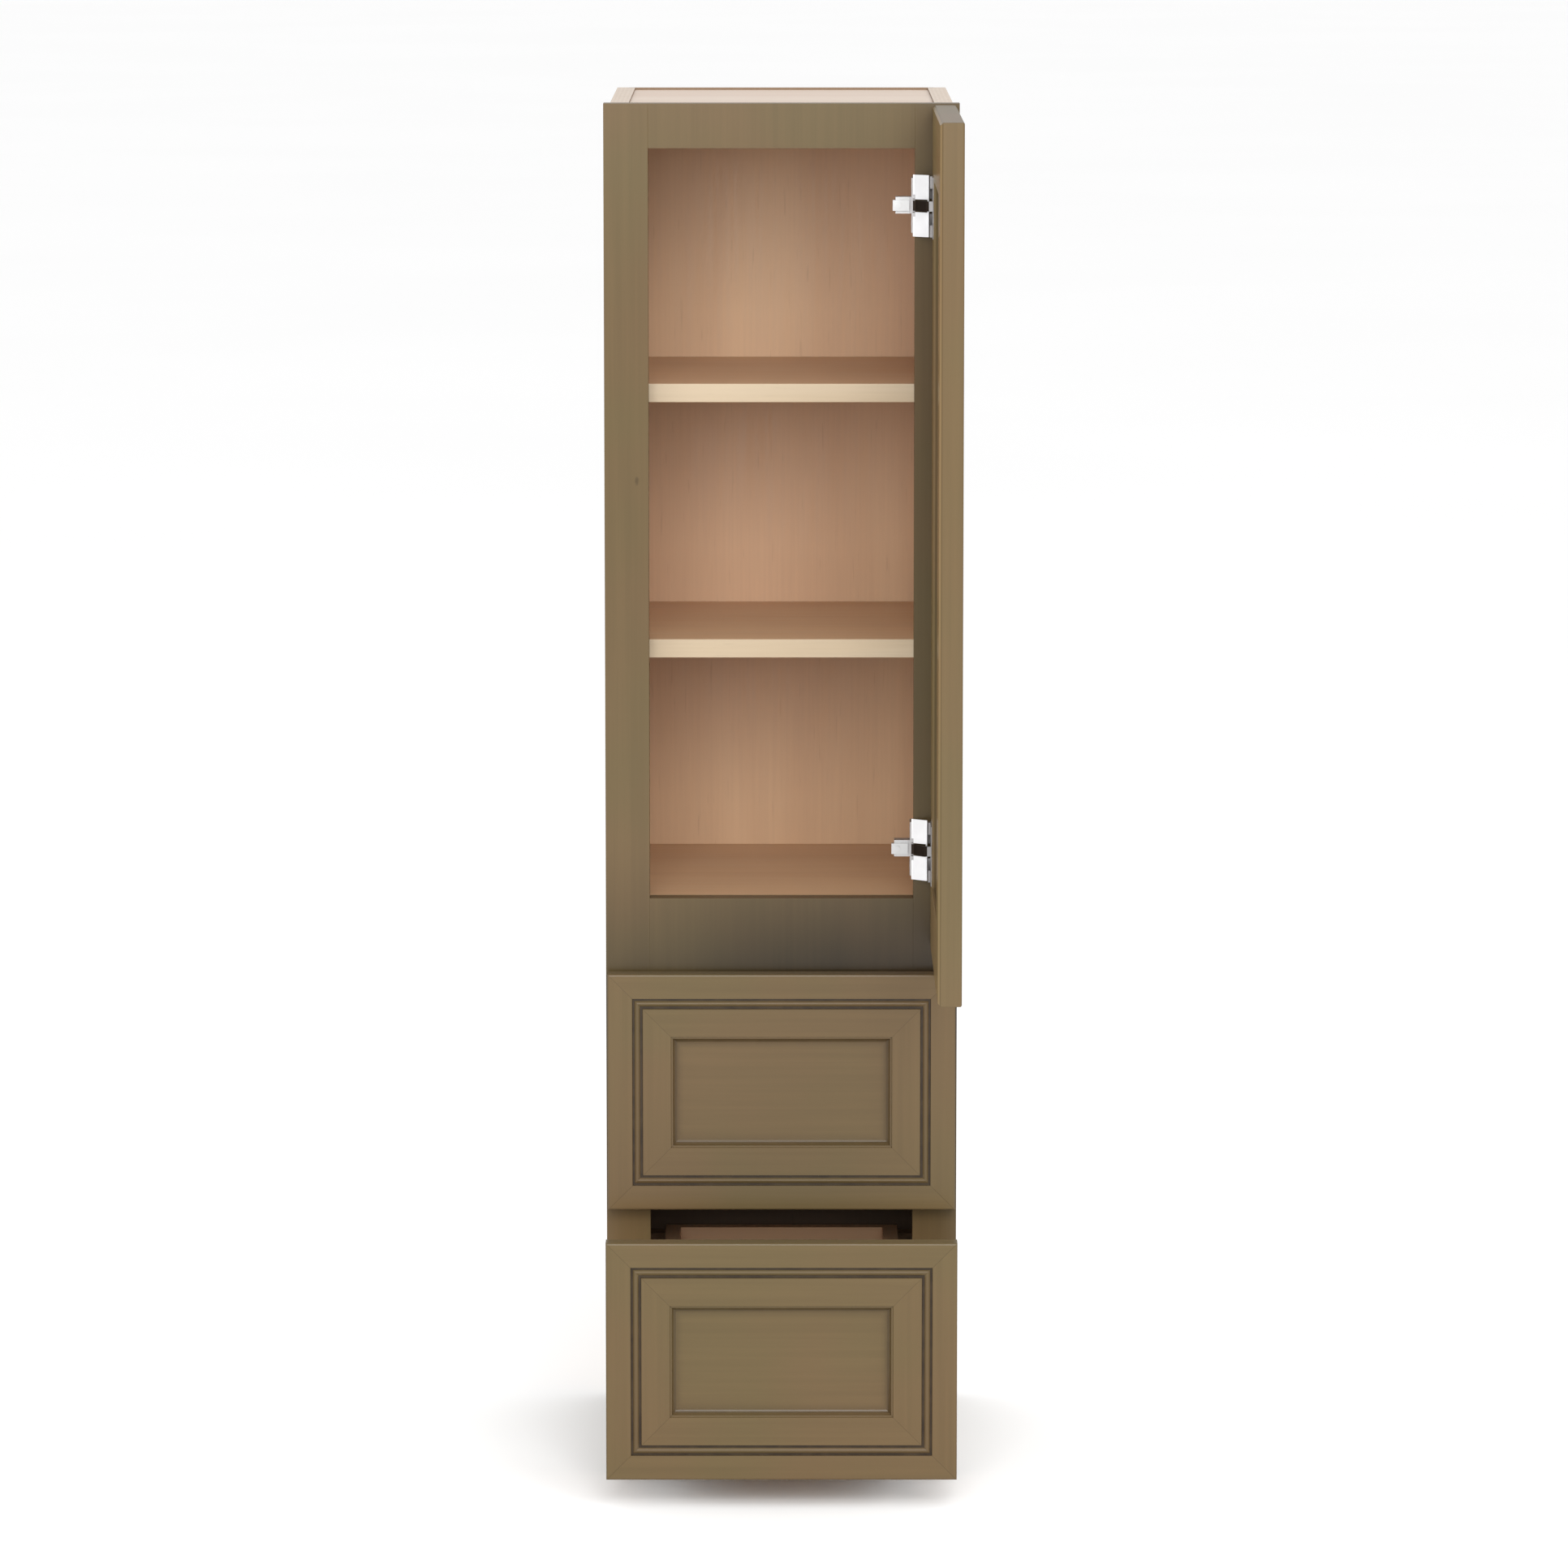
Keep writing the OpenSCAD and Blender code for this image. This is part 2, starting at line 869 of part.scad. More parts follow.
on_door() translate([0, 0, hinge_heights[1]]) hinge_cup();  // hinge_cup_upper
on_door() translate([0, 0, hinge_heights[0]]) hinge_cup();  // hinge_cup_lower
on_door() hinge_cup_screws();
on_door() hinge_pins();
at_upper_drawer() drawer_stile(-1);  // upper_front_stile_left
at_upper_drawer() drawer_stile(1);  // upper_front_stile_right
at_upper_drawer() drawer_rail_top();  // upper_front_rail_top
at_upper_drawer() drawer_rail_bottom();  // upper_front_rail_bottom
at_upper_drawer() drawer_panel();  // upper_front_panel
at_upper_drawer() box_side(-1);  // upper_box_side_left
at_upper_drawer() box_side(1);  // upper_box_side_right
at_upper_drawer() box_front();  // upper_box_front
at_upper_drawer() box_back();  // upper_box_back
at_upper_drawer() box_bottom();  // upper_box_bottom
at_upper_drawer() slide_runners();  // upper_slide_runners
translate([0, 0, upper_front_bottom]) slide_middles(upper_pull);  // upper_slide_middles
at_upper_drawer() locking_clips();  // upper_locking_clips
at_upper_drawer() front_screws();  // upper_front_screws
at_lower_drawer() drawer_stile(-1);  // lower_front_stile_left
at_lower_drawer() drawer_stile(1);  // lower_front_stile_right
at_lower_drawer() drawer_rail_top();  // lower_front_rail_top
at_lower_drawer() drawer_rail_bottom();  // lower_front_rail_bottom
at_lower_drawer() drawer_panel();  // lower_front_panel
at_lower_drawer() box_side(-1);  // lower_box_side_left
at_lower_drawer() box_side(1);  // lower_box_side_right
at_lower_drawer() box_front();  // lower_box_front
at_lower_drawer() box_back();  // lower_box_back
at_lower_drawer() box_bottom();  // lower_box_bottom
at_lower_drawer() slide_runners();  // lower_slide_runners
translate([0, 0, lower_front_bottom]) slide_middles(lower_pull);  // lower_slide_middles
at_lower_drawer() locking_clips();  // lower_locking_clips
at_lower_drawer() front_screws();  // lower_front_screws
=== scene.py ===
"""Pantry cabinet: procedural materials, soft edges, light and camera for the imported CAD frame."""
import math

import bpy
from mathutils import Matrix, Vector


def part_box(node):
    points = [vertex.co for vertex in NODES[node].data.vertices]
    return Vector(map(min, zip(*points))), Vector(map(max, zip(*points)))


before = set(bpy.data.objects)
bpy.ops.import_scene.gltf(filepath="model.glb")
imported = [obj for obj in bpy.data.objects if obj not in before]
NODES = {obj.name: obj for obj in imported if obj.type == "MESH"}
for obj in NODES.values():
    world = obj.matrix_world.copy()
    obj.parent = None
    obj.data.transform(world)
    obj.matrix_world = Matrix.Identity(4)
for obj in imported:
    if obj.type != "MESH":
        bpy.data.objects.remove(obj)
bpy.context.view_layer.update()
MM = 0.001
X, Y, Z = 0, 1, 2


# ---------- Measures taken from the frame ----------

def joined_box(*names):
    """The box round several CAD nodes at rest."""
    boxes = [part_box(name) for name in names]
    low = Vector([min(b[0][i] for b in boxes) for i in range(3)])
    high = Vector([max(b[1][i] for b in boxes) for i in range(3)])
    return low, high


def front_nodes(prefix):
    """The five nodes of a mitred front: the door, or a drawer front."""
    if prefix == "door":
        return ["door_stile_hinge", "door_stile_latch", "door_rail_top", "door_rail_bottom", "door_panel"]
    parts = ["stile_left", "stile_right", "rail_top", "rail_bottom", "panel"]
    return [f"{prefix}_front_{part}" for part in parts]


def hinge_middle(which):
    """Height of the middle of the upper or the lower hinge."""
    low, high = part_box(f"hinge_base_{which}")
    return (low.z + high.z) / 2


FRAME_LOW, FRAME_HIGH = joined_box("frame_stile_left", "frame_stile_right")


# ---------- Shader building ----------

COAT_ROUGHNESS = 0.22
NOISE_MIDDLE = (0.3, 0.7)  # most of a noise's values lie between these


def srgb(red, green, blue):
    """An 8-bit display colour as linear RGBA."""
    def linear(value):
        value /= 255
        return value / 12.92 if value <= 0.04045 else ((value + 0.055) / 1.055) ** 2.4
    return (linear(red), linear(green), linear(blue), 1.0)


def grain_scales(axis, along, across):
    """Texture scales that draw long streaks along one axis."""
    scales = [across] * 3
    scales[axis] = along
    return tuple(scales)


class Shader:
    """A material whose nodes are added by short calls. Each call returns an output socket."""

    def __init__(self, name, roughness=0.5, metallic=0.0, coat=0.0, specular=0.5):
        self.material = bpy.data.materials.new(name)
        self.material.use_nodes = True
        self.nodes = self.material.node_tree.nodes
        self.links = self.material.node_tree.links
        self.surface = self.nodes["Principled BSDF"]
        self.surface.inputs["Roughness"].default_value = roughness
        self.surface.inputs["Metallic"].default_value = metallic
        self.surface.inputs["Coat Weight"].default_value = coat
        self.surface.inputs["Coat Roughness"].default_value = COAT_ROUGHNESS
        self.surface.inputs["Specular IOR Level"].default_value = specular
        coordinates = self.nodes.new("ShaderNodeTexCoord")
        self.position = coordinates.outputs["Object"]
        self.normal = coordinates.outputs["Normal"]

    def put(self, socket, value):
        """Links an output socket to an input, or writes a plain value into it."""
        if hasattr(value, "is_output"):
            self.links.new(value, socket)
        else:
            socket.default_value = value

    def math(self, operation, a, b=0.0):
        node = self.nodes.new("ShaderNodeMath")
        node.operation = operation
        self.put(node.inputs[0], a)
        self.put(node.inputs[1], b)
        return node.outputs[0]

    def minus(self, a, b):
        return self.math("SUBTRACT", a, b)

    def times(self, value, *others):
        for other in others:
            value = self.math("MULTIPLY", value, other)
        return value

    def largest(self, value, *others):
        for other in others:
            value = self.math("MAXIMUM", value, other)
        return value

    def distance(self, a, b):
        return self.math("ABSOLUTE", self.minus(a, b))

    def axes(self, vector):
        node = self.nodes.new("ShaderNodeSeparateXYZ")
        self.put(node.inputs[0], vector)
        return node.outputs

    def stretch(self, scale, offset=(0, 0, 0)):
        """The position scaled by a factor for each axis, then moved."""
        node = self.nodes.new("ShaderNodeMapping")
        self.put(node.inputs["Vector"], self.position)
        node.inputs["Scale"].default_value = scale
        node.inputs["Location"].default_value = offset
        return node.outputs[0]

    def noise(self, vector, scale=1.0, detail=3.0, roughness=0.5, distortion=0.0):
        node = self.nodes.new("ShaderNodeTexNoise")
        self.put(node.inputs["Vector"], vector)
        node.inputs["Scale"].default_value = scale
        node.inputs["Detail"].default_value = detail
        node.inputs["Roughness"].default_value = roughness
        node.inputs["Distortion"].default_value = distortion
        return node.outputs["Fac"]

    def brush_streaks(self, axis):
        """Thin streaks along one axis, as left by a brush."""
        return self.noise(self.stretch(grain_scales(axis, along=3, across=150)), detail=5, roughness=0.6)

    def ramp(self, value, low, high, to_low=0.0, to_high=1.0):
        """Smooth step from to_low at low to to_high at high."""
        node = self.nodes.new("ShaderNodeMapRange")
        node.interpolation_type = "SMOOTHSTEP"
        for key, number in zip(("Value", "From Min", "From Max", "To Min", "To Max"),
                               (value, low, high, to_low, to_high)):
            self.put(node.inputs[key], number)
        return node.outputs[0]

    def spread(self, noise, to_low, to_high):
        """A noise's usual values as a smooth step from to_low to to_high."""
        return self.ramp(noise, *NOISE_MIDDLE, to_low, to_high)

    def band(self, value, low, high, soft):
        """1 between low and high, with soft edges."""
        rise = self.ramp(value, low - soft, low + soft)
        fall = self.ramp(value, high - soft, high + soft, 1.0, 0.0)
        return self.times(rise, fall)

    def mix(self, amount, a, b, blend="MIX"):
        node = self.nodes.new("ShaderNodeMix")
        node.data_type = "RGBA"
        node.blend_type = blend
        self.put(node.inputs["Factor"], amount)
        self.put(node.inputs[6], a)
        self.put(node.inputs[7], b)
        return node.outputs[2]

    def shade(self, colour, value):
        """The colour multiplied by a grey value."""
        grey = self.nodes.new("ShaderNodeCombineColor")
        for socket in grey.inputs:
            self.put(socket, value)
        return self.mix(1.0, colour, grey.outputs[0], "MULTIPLY")

    def finish(self, colour, roughness, height, strength=0.2, distance=0.2 * MM):
        """Connects colour, roughness and bump height to the surface."""
        self.put(self.surface.inputs["Base Color"], colour)
        self.put(self.surface.inputs["Roughness"], roughness)
        bump = self.nodes.new("ShaderNodeBump")
        bump.inputs["Strength"].default_value = strength
        bump.inputs["Distance"].default_value = distance
        self.put(bump.inputs["Height"], height)
        self.put(self.surface.inputs["Normal"], bump.outputs[0])
        return self.material


# ---------- Paint ----------

PAINT = srgb(93, 77, 51)
PAINT_WARM = srgb(97, 77, 52)
PAINT_COOL = srgb(91, 78, 50)
# Glaze colour; the fronts also use it for painted shade over their grooves
GLAZE_AND_SHADE = srgb(34, 24, 15)
PAINT_COAT = 0.45

# Painted shade on the face frame, round the middle rail and by the hinges
RAIL_SHADE_ABOVE = 60 * MM  # above the middle rail, where it begins
RAIL_SHADE_ENDS = (120 * MM, 40 * MM)  # below the upper front's top edge
RAIL_SHADE_WIDTH = 190 * MM  # from the left edge to where it is full
HINGE_SHADE = (60 * MM, 25 * MM)  # from the right edge, where it begins and is full
HINGE_SHADE_AMOUNT = 0.34
FRAME_SHADE_AMOUNT = 0.76
KNOT_X = FRAME_LOW.x + 28 * MM
KNOT_Z = FRAME_HIGH.z - 324 * MM
KNOT_ACROSS, KNOT_ALONG = 420, 170  # per metre: a larger value makes a smaller knot

# The moulding of the mitred fronts, from their outer edge inwards
RIM = (0.5 * MM, 1.1 * MM)
GROOVE_SHADOW = (20.9 * MM, 30.8 * MM)
GROOVES = ((21.4 * MM, 23.5 * MM), (27.9 * MM, 30.3 * MM))
BEAD = (24.2 * MM, 27.2 * MM)
COVE_START, COVE_MIDDLE, COVE_END = 54.6 * MM, 58 * MM, 67 * MM
PANEL_STEP = (57.4 * MM, 60.6 * MM)
PANEL_EDGE = 61.5 * MM
MITRE_GAP = (0.1 * MM, 0.45 * MM)

# The fronts' thickness, from their outer face
GLAZED_DEPTH = (8 * MM, 9 * MM)
INNER_FACE_DEPTH = (18 * MM, 18.6 * MM)
# Painted light: the fronts' inner face is made lighter by the factor below
INNER_FACE_PAINTED_LIGHT = 1.6


def paint_layers(shader, streaks):
    """Paint colour with warm and cool patches and thin streaks left by the brush and the wood below."""
    patches = shader.noise(shader.position, scale=6, detail=2)
    colour = shader.mix(shader.ramp(patches, 0.35, 0.65), PAINT_COOL, PAINT_WARM)
    colour = shader.mix(0.45, colour, PAINT)
    return shader.shade(colour, shader.spread(streaks, 0.95, 1.045))


def frame_paint():
    """Paint for the face frame: painted shade round the middle rail and by the hinges, one small knot."""
    shader = Shader("paint_frame", specular=0.0, coat=PAINT_COAT)
    streaks = shader.brush_streaks(Z)
    colour = paint_layers(shader, streaks)
    place = shader.axes(shader.position)

    # Painted shade: the frame is darkened round the middle rail just above the upper front's top edge, more
    # towards the right, and along the right stile by the hinges.
    rail_top, front_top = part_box("frame_rail_middle")[1].z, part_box("upper_front_rail_top")[1].z
    from_above = shader.ramp(place[Z], rail_top + RAIL_SHADE_ABOVE, front_top)
    from_below = shader.ramp(place[Z], *(front_top - below for below in RAIL_SHADE_ENDS))
    to_right = shader.ramp(place[X], FRAME_LOW.x, FRAME_LOW.x + RAIL_SHADE_WIDTH, 0.5, 1.0)
    rail_shade = shader.times(from_above, from_below, to_right)
    begins, full = (FRAME_HIGH.x - inside for inside in HINGE_SHADE)
    hinge_shade = shader.ramp(place[X], begins, full, 0.0, HINGE_SHADE_AMOUNT)
    blotches = shader.spread(shader.noise(shader.stretch((14, 14, 4)), detail=2), 0.85, 1.0)
    painted_shade = shader.times(shader.largest(rail_shade, hinge_shade), blotches, FRAME_SHADE_AMOUNT)
    colour = shader.shade(colour, shader.minus(1.0, painted_shade))

    across = shader.math("POWER", shader.times(shader.minus(place[X], KNOT_X), KNOT_ACROSS), 2)
    along = shader.math("POWER", shader.times(shader.minus(place[Z], KNOT_Z), KNOT_ALONG), 2)
    rough_edge = shader.noise(shader.position, scale=260, detail=3)
    from_knot = shader.math("ADD", shader.math("ADD", across, along), rough_edge)
    colour = shader.mix(shader.ramp(from_knot, 0.3, 1.3, 0.4, 0.0), colour, GLAZE_AND_SHADE)
    return shader.finish(colour, shader.spread(streaks, 0.42, 0.52), streaks, strength=0.15)


def front_paint(name, prefix, panel_grain):
    """Paint for a mitred front: glaze and painted shade in the moulding, placed from the edge, grain turned
    at the mitres, and painted light on the inner face.
    """
    shader = Shader(name, specular=0.0, coat=PAINT_COAT)
    low, high = joined_box(*front_nodes(prefix))
    depth_axis = min(range(3), key=lambda i: high[i] - low[i])
    across_axis = 1 - depth_axis
    position = shader.axes(shader.position)

    def to_edge(axis):
        middle = (low[axis] + high[axis]) / 2
        half = (high[axis] - low[axis]) / 2
        return shader.minus(half, shader.distance(position[axis], middle))

    across, upward = to_edge(across_axis), to_edge(Z)
    edge = shader.math("MINIMUM", across, upward)
    if depth_axis == Y:
        depth = shader.minus(position[Y], low[Y])
    else:
        depth = shader.minus(high[X], position[X])

    upright, level = shader.brush_streaks(Z), shader.brush_streaks(across_axis)
    is_stile = shader.math("LESS_THAN", across, upward)
    is_panel = shader.math("GREATER_THAN", edge, PANEL_EDGE)
    member_grain = shader.mix(is_stile, level, upright)
    streaks = shader.mix(is_panel, member_grain, upright if panel_grain == Z else level)
    colour = paint_layers(shader, streaks)

    grooves = shader.largest(*(shader.band(edge, *groove, 0.35 * MM) for groove in GROOVES))
    bead = shader.band(edge, *BEAD, 0.7 * MM)
    step = shader.band(edge, *PANEL_STEP, 1.0 * MM)
    cove_in = shader.ramp(edge, COVE_START, COVE_MIDDLE)
    cove_out = shader.ramp(edge, COVE_MIDDLE, COVE_END, 1.0, 0.0)
    cove = shader.times(cove_out, cove_in)
    shadow = shader.band(edge, *GROOVE_SHADOW, 0.9 * MM)
    amounts = ((grooves, 0.92), (step, 0.46), (cove, 0.22), (shadow, 0.16), (bead, 0.18))
    patchy = shader.ramp(shader.noise(shader.position, scale=70, detail=2), 0.25, 0.75, 0.82, 1.0)
    on_face = shader.ramp(depth, *GLAZED_DEPTH, 1.0, 0.0)
    # Glaze and painted shade: the shadow band is painted shade over the grooves and the bead; the other
    # marks are glaze.
    glaze = shader.largest(*(shader.times(place, amount) for place, amount in amounts))
    glaze = shader.times(glaze, shader.times(patchy, on_face))

    off_mitre = shader.distance(across, upward)
    on_members = shader.ramp(edge, PANEL_EDGE - 0.5 * MM, PANEL_EDGE, 1.0, 0.0)
    mitre = shader.times(shader.ramp(off_mitre, *MITRE_GAP, 0.3, 0.0), on_members)
    rim = shader.times(shader.band(edge, *RIM, 0.35 * MM), 0.16)
    colour = shader.mix(shader.largest(glaze, mitre, rim), colour, GLAZE_AND_SHADE)
    # Painted light: the inner face of the front is lightened
    colour = shader.shade(colour, shader.ramp(depth, *INNER_FACE_DEPTH, 1.0, INNER_FACE_PAINTED_LIGHT))
    height = shader.minus(shader.times(streaks, 0.5), mitre)
    return shader.finish(colour, shader.spread(streaks, 0.44, 0.54), height)


# ---------- Wood ----------

MAPLE = (srgb(201, 167, 131), srgb(192, 156, 121), srgb(198, 158, 125))
SHELF_EDGE = (srgb(182, 164, 138), srgb(174, 154, 126), srgb(178, 158, 131))
RAW_FACES = (srgb(199, 182, 166), srgb(189, 168, 150), srgb(194, 172, 156))
EDGE_RAW = (srgb(196, 180, 164), srgb(186, 168, 150))
# Painted shade: a brown for the back panel's edges and for the tall panels' faces above the lid
EDGE_PAINTED_SHADE = (srgb(122, 97, 72), srgb(104, 80, 58))
WOOD_SPECULAR = 0.4
PLIES = 9
# Painted shade: tall panels are darkened inside the drawer bay, below the floor panel
DRAWER_BAY_SHADE = 0.3
DRAWER_BAY_SHADE_FADE = 8 * MM
LID_FADE = 1 * MM
TALL = 1.0  # a panel higher than this passes the drawer bay and stands above the lid


def maple_layers(shader, grain_axis, light, dark, red, seed):
    """Rotary-cut maple: broad bands, fine fibres and short dark flecks along the grain."""
    shift = (seed * 1.7, seed * 2.3, seed * 0.9)

    def grain(along, across, **settings):
        scales = grain_scales(grain_axis, along, across)
        return shader.noise(shader.stretch(scales, offset=shift), **settings)

    bands = grain(1.1, 9, detail=3, distortion=1.2)
    fibres = grain(6, 260, detail=4, roughness=0.65)
    flecks = grain(26, 420, detail=1)
    warmth = grain(2, 3, detail=1)
    colour = shader.mix(shader.ramp(bands, 0.3, 0.72), light, dark)
    colour = shader.mix(shader.ramp(warmth, 0.4, 0.7, 0.0, 0.6), colour, red)
    colour = shader.shade(colour, shader.spread(fibres, 0.972, 1.022))
    colour = shader.shade(colour, shader.ramp(flecks, 0.68, 0.8, 1.0, 0.9))
    return colour, fibres


def ply_layers(shader, axis, low, high, tones):
    """Faint stripes of the plies across a panel's thickness, seen on its raw edges."""
    place = shader.axes(shader.position)[axis]
    along = shader.math("DIVIDE", shader.minus(place, low), high - low)
    wave = shader.math("SINE", shader.times(along, math.pi * PLIES))
    fibres = shader.noise(shader.stretch((300, 300, 300)), detail=3)
    colour = shader.mix(shader.ramp(wave, -0.35, 0.35, 0.35, 0.8), tones[1], tones[0])
    return shader.shade(colour, shader.spread(fibres, 0.93, 1.05))


def panel_wood(name, node, grain_axis, seed, banded=(), painted=None, faces=MAPLE, raw=EDGE_RAW):
    """Plywood panel: lacquered faces, raw or banded edges, and paint on the side that painted points to; a
    tall panel also gets painted shade inside the drawer bay and on its face above the lid.
    """
    shader = Shader(name, specular=WOOD_SPECULAR)
    low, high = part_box(node)
    thickness = min(range(3), key=lambda i: high[i] - low[i])
    normal = shader.axes(shader.normal)
    colour, fibres = maple_layers(shader, grain_axis, *faces, seed)
    if high.z - low.z > TALL:
        upward = shader.axes(shader.position)[Z]
        bay_top, lid_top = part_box("floor_panel")[0].z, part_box("top_panel")[1].z
        rear = shader.math("GREATER_THAN", normal[Y], 0.5)
        # Painted shade inside the drawer bay, not on faces that look backwards
        bay_shade = shader.ramp(upward, bay_top - DRAWER_BAY_SHADE_FADE, bay_top, DRAWER_BAY_SHADE, 1.0)
        colour = shader.shade(colour, shader.largest(bay_shade, rear))
        # Painted shade: the faces above the lid take the first brown
        above_lid_shade = shader.minus(shader.ramp(upward, lid_top - LID_FADE, lid_top), rear)
        colour = shader.mix(above_lid_shade, colour, EDGE_PAINTED_SHADE[0])
    on_edge = shader.math("LESS_THAN", shader.math("ABSOLUTE", normal[thickness]), 0.5)
    edges = ply_layers(shader, thickness, low[thickness], high[thickness], raw)
    if banded:
        band_colour, _ = maple_layers(shader, grain_axis, *banded, seed + 5)
        edges = shader.mix(shader.math("LESS_THAN", normal[Y], -0.5), edges, band_colour)
    colour = shader.mix(on_edge, colour, edges)
    if painted is not None:
        outside = shader.math("GREATER_THAN", shader.times(normal[X], painted), 0.5)
        colour = shader.mix(outside, colour, paint_layers(shader, shader.brush_streaks(Z)))
    return shader.finish(colour, shader.spread(fibres, 0.4, 0.52), fibres, strength=0.12)


def solid_wood(name, grain_axis, seed):
    """Plain maple for the drawer boxes and hanging rails."""
    shader = Shader(name, specular=WOOD_SPECULAR)
    colour, fibres = maple_layers(shader, grain_axis, *MAPLE, seed)
    return shader.finish(colour, shader.spread(fibres, 0.42, 0.55), fibres, strength=0.15)


# ---------- Metal and nylon ----------

LINK_NICKEL = (0.93, 0.93, 0.94, 1)
CUP_NICKEL = (0.27, 0.26, 0.26, 1)
BASE_NICKEL = (0.42, 0.41, 0.41, 1)
COVER_NICKEL = (0.52, 0.52, 0.52, 1)
# Painted shade for the hinge arm, seen through the plate's window
ARM_PAINTED_SHADE = (0.035, 0.026, 0.02, 1)
ZINC = (0.72, 0.73, 0.75, 1)
BLACK_STEEL = (0.09, 0.08, 0.07, 1)
GREY_NYLON = srgb(206, 206, 202)
FINE_BUMP = 0.05 * MM
ARM_HALF_HEIGHT = 6 * MM
ARM_FORWARD = 0.95 * MM  # the arm stands further than this before the frame
ARM_CLEAR_OF_LINKS = 0.5 * MM
COVER_REACH = 4.8 * MM  # the cover lies further than this inside the door opening


def clouding(shader):
    """Faint clouds, as on plated metal."""
    return shader.noise(shader.position, scale=55, detail=3)


def plated_metal(name, colour, roughness, brushed_axis):
    """Plated sheet metal with fine rolling lines and faint clouding."""
    shader = Shader(name, metallic=1.0)
    lines = shader.noise(shader.stretch(grain_scales(brushed_axis, 30, 1600)), detail=2)
    clouds = clouding(shader)
    tone = shader.shade(colour, shader.spread(clouds, 0.94, 1.02))
    rolled = shader.spread(lines, roughness - 0.05, roughness + 0.05)
    rough = shader.math("ADD", rolled, shader.spread(clouds, -0.03, 0.04))
    return shader.finish(tone, rough, lines, strength=0.08, distance=FINE_BUMP)


def hinge_base_metal():
    """Nickel plate whose arm is coloured near black as painted shade for the plate's window, told apart by
    height and by how far each part stands forward.
    """
    shader = Shader("nickel_and_painted_shade_arm", metallic=1.0)
    place = shader.axes(shader.position)
    levels = [shader.math("LESS_THAN", shader.distance(place[Z], hinge_middle(which)), ARM_HALF_HEIGHT)
              for which in ("upper", "lower")]
    forward = shader.math("LESS_THAN", place[Y], FRAME_LOW.y - ARM_FORWARD)
    left_of_links = shader.math("LESS_THAN", place[X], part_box("hinge_links")[1].x - ARM_CLEAR_OF_LINKS)
    # Painted shade: the arm is coloured near black
    arm = shader.times(shader.largest(*levels), forward, left_of_links)
    clouds = clouding(shader)
    cover = shader.math("LESS_THAN", place[X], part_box("frame_stile_right")[0].x - COVER_REACH)
    colour = shader.mix(arm, shader.mix(cover, BASE_NICKEL, COVER_NICKEL), ARM_PAINTED_SHADE)
    colour = shader.shade(colour, shader.spread(clouds, 0.94, 1.02))
    rough = shader.math("ADD", shader.spread(clouds, 0.46, 0.54), shader.times(arm, 0.1))
    return shader.finish(colour, rough, clouds, strength=0.05, distance=FINE_BUMP)


def moulded(name, colour, roughness):
    """Moulded nylon with a fine spark-eroded texture."""
    shader = Shader(name)
    texture = shader.noise(shader.position, scale=1400, detail=2)
    tone = shader.shade(colour, shader.spread(shader.noise(shader.position, scale=40), 0.95, 1.03))
    rough = shader.spread(texture, roughness - 0.05, roughness + 0.07)
    return shader.finish(tone, rough, texture, strength=0.15, distance=FINE_BUMP)


# ---------- Which node wears what ----------

LOOKS = (
    (frame_paint(), ("frame_stile_left", "frame_stile_right", "frame_rail_top", "frame_rail_middle",
                     "frame_rail_bottom")),
    (panel_wood("ply_side_left", "side_panel_left", Z, 1, painted=-1), ("side_panel_left",)),
    (panel_wood("ply_side_right", "side_panel_right", Z, 2, painted=1), ("side_panel_right",)),
    (panel_wood("ply_top", "top_panel", X, 3, faces=RAW_FACES), ("top_panel",)),
    (panel_wood("ply_floor", "floor_panel", X, 4), ("floor_panel",)),
    (panel_wood("ply_bottom", "bottom_panel", X, 5), ("bottom_panel",)),
    (panel_wood("ply_back", "back_panel", Z, 6, raw=EDGE_PAINTED_SHADE), ("back_panel",)),
    (panel_wood("ply_shelf_upper", "shelf_upper", X, 7, banded=SHELF_EDGE), ("shelf_upper",)),
    (panel_wood("ply_shelf_lower", "shelf_lower", X, 8, banded=SHELF_EDGE), ("shelf_lower",)),
    (solid_wood("maple_rail", X, 9), ("hanging_rail_upper", "hanging_rail_lower")),
    (solid_wood("maple_box_side", Y, 10), ("upper_box_side_left", "upper_box_side_right",
                                           "lower_box_side_left", "lower_box_side_right")),
    (solid_wood("maple_box_end", X, 11), ("upper_box_front", "upper_box_back",
                                          "lower_box_front", "lower_box_back")),
    (solid_wood("maple_box_bottom", X, 12), ("upper_box_bottom", "lower_box_bottom")),
    (plated_metal("nickel", LINK_NICKEL, 0.5, Z), ("hinge_links",)),
    (plated_metal("nickel_cup", CUP_NICKEL, 0.5, Z), ("hinge_cup_upper", "hinge_cup_lower")),
    (hinge_base_metal(), ("hinge_base_upper", "hinge_base_lower")),
    (plated_metal("zinc", ZINC, 0.32, Y), ("hinge_base_screws", "hinge_pins", "shelf_pins",
                                           "upper_front_screws", "lower_front_screws",
                                           "slide_cabinet_members",
                                           "upper_slide_runners", "lower_slide_runners",
                                           "upper_slide_middles", "lower_slide_middles")),
    (plated_metal("black_steel", BLACK_STEEL, 0.45, X), ("hinge_cup_screws",)),
    (moulded("grey_nylon", GREY_NYLON, 0.5), ("slide_rear_brackets",
                                              "upper_locking_clips", "lower_locking_clips")),
    (front_paint("paint_door_front", "door", Z), front_nodes("door")),
    (front_paint("paint_upper_front", "upper", X), front_nodes("upper")),
    (front_paint("paint_lower_front", "lower", X), front_nodes("lower")),
)


def dress(node, material):
    """Gives a CAD node its material, in every slot it has."""
    data = NODES[node].data
    if not data.materials:
        data.materials.append(material)
    for index in range(len(data.materials)):
        data.materials[index] = material


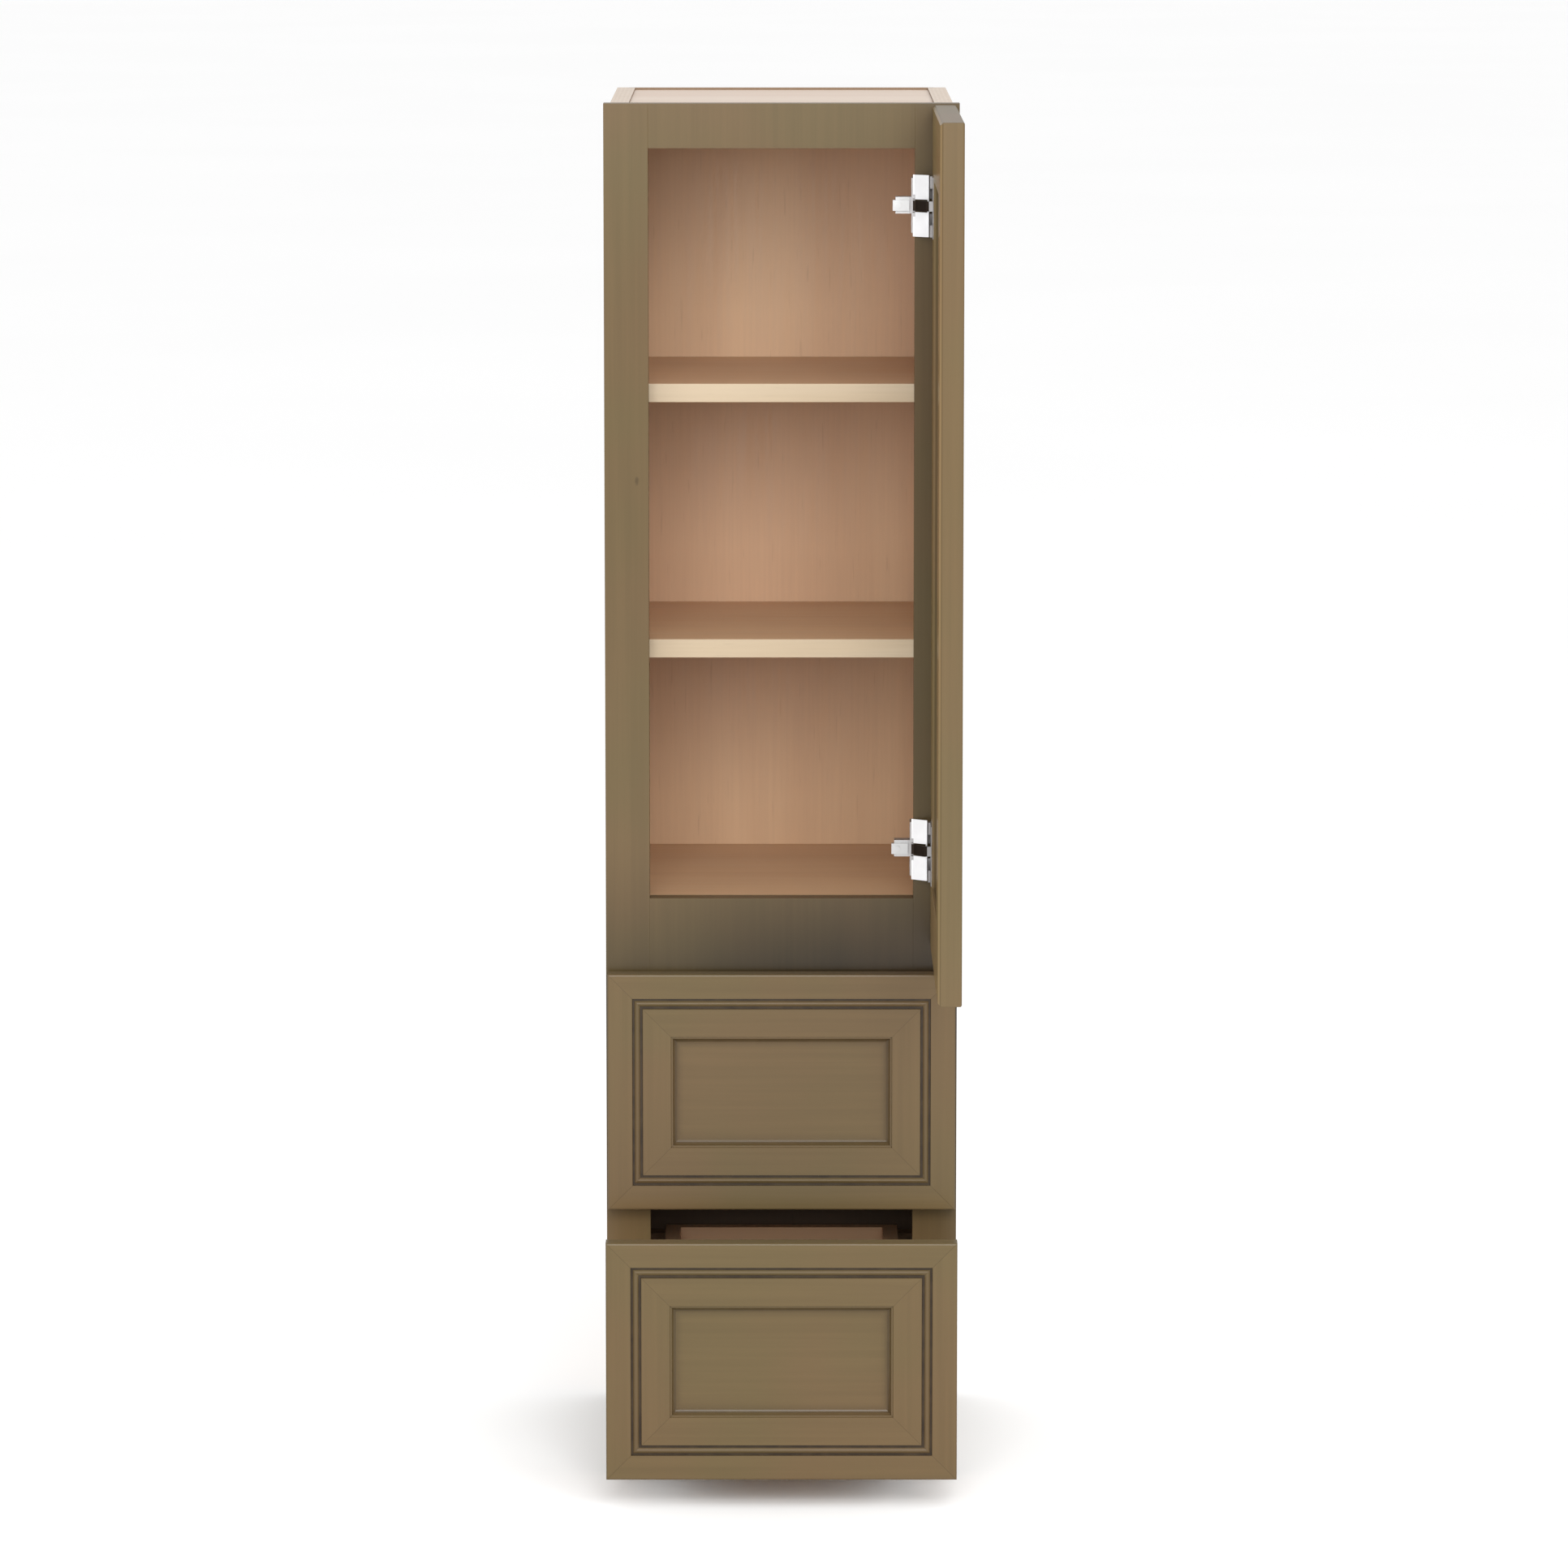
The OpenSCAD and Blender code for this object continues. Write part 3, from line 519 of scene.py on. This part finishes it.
LEVEL_AND_BACK_PANELS = ("top_panel", "floor_panel", "bottom_panel", "back_panel")


def edge_width(node):
    """How wide the rounding of a node's edges is, or None for the small parts that stay sharp."""
    if node.startswith(("frame_", "hinge_base_upper", "hinge_base_lower", "hinge_links")):
        return 0.15 * MM
    if node.startswith(("side_", "shelf_upper", "shelf_lower", "hanging_")) or node in LEVEL_AND_BACK_PANELS:
        return 0.35 * MM
    if "_front_" in node or "_box_" in node or node.startswith("door_"):
        return 0.3 * MM
    return None


def soften(node, width):
    """Rounds a node's sharp edges a little, so that they catch the light."""
    weld = NODES[node].modifiers.new("weld", "WELD")
    weld.merge_threshold = 0.01 * MM
    bevel = NODES[node].modifiers.new("soft_edges", "BEVEL")
    bevel.width = width
    bevel.segments = 2
    bevel.limit_method = "ANGLE"
    bevel.angle_limit = math.radians(40)


for material, nodes in LOOKS:
    for node in nodes:
        dress(node, material)

for node in NODES:
    width = edge_width(node)
    if width:
        soften(node, width)


# ---------- Stage, light and camera ----------

FLOOR_SIZE = 120
FLOOR_COLOUR = srgb(253, 253, 253)
WORLD_STRENGTH = 1.0
LIGHT_TARGET = Vector((0, 0, 0.7))
CAMERA_DISTANCE = 6.223
CAMERA_ABOVE_TOP = 0.2966
CAMERA_PITCH = math.radians(8.083)
CAMERA_YAW = math.radians(-0.02)
CAMERA_LENS = 166.7
CAMERA_SEES_TO = 200


def make_floor():
    bpy.ops.mesh.primitive_plane_add(size=FLOOR_SIZE, location=(0, 0, 0))
    floor = bpy.context.object
    floor.name = "floor"
    shader = Shader("pale_floor", roughness=0.8, specular=0.1)
    cloud = shader.noise(shader.position, scale=0.6, detail=2)
    colour = shader.shade(FLOOR_COLOUR, shader.spread(cloud, 0.99, 1.0))
    shader.put(shader.surface.inputs["Base Color"], colour)
    floor.data.materials.append(shader.material)


def make_world():
    world = bpy.data.worlds.new("studio")
    bpy.context.scene.world = world
    world.use_nodes = True
    background = world.node_tree.nodes["Background"]
    background.inputs["Color"].default_value = (1, 1, 1, 1)
    background.inputs["Strength"].default_value = WORLD_STRENGTH


def area_light(name, place, size, power):
    """A square light that shines towards the middle of the cabinet."""
    data = bpy.data.lights.new(name, "AREA")
    data.size = size
    data.energy = power
    lamp = bpy.data.objects.new(name, data)
    bpy.context.scene.collection.objects.link(lamp)
    lamp.location = place
    lamp.rotation_euler = (LIGHT_TARGET - Vector(place)).to_track_quat("-Z", "Y").to_euler()


def make_camera():
    camera = bpy.data.objects.new("camera", bpy.data.cameras.new("camera"))
    bpy.context.scene.collection.objects.link(camera)
    camera.location = (0, FRAME_LOW.y - CAMERA_DISTANCE, FRAME_HIGH.z + CAMERA_ABOVE_TOP)
    camera.rotation_euler = (math.pi / 2 - CAMERA_PITCH, 0, CAMERA_YAW)
    camera.data.lens = CAMERA_LENS
    camera.data.clip_end = CAMERA_SEES_TO
    bpy.context.scene.camera = camera


make_floor()
make_world()
area_light("key", (1.4, -3.6, 3.6), size=3.0, power=80)
area_light("front_fill", (0.0, -5.4, 2.5), size=2.6, power=185)
make_camera()
bpy.context.scene.view_settings.view_transform = "Standard"
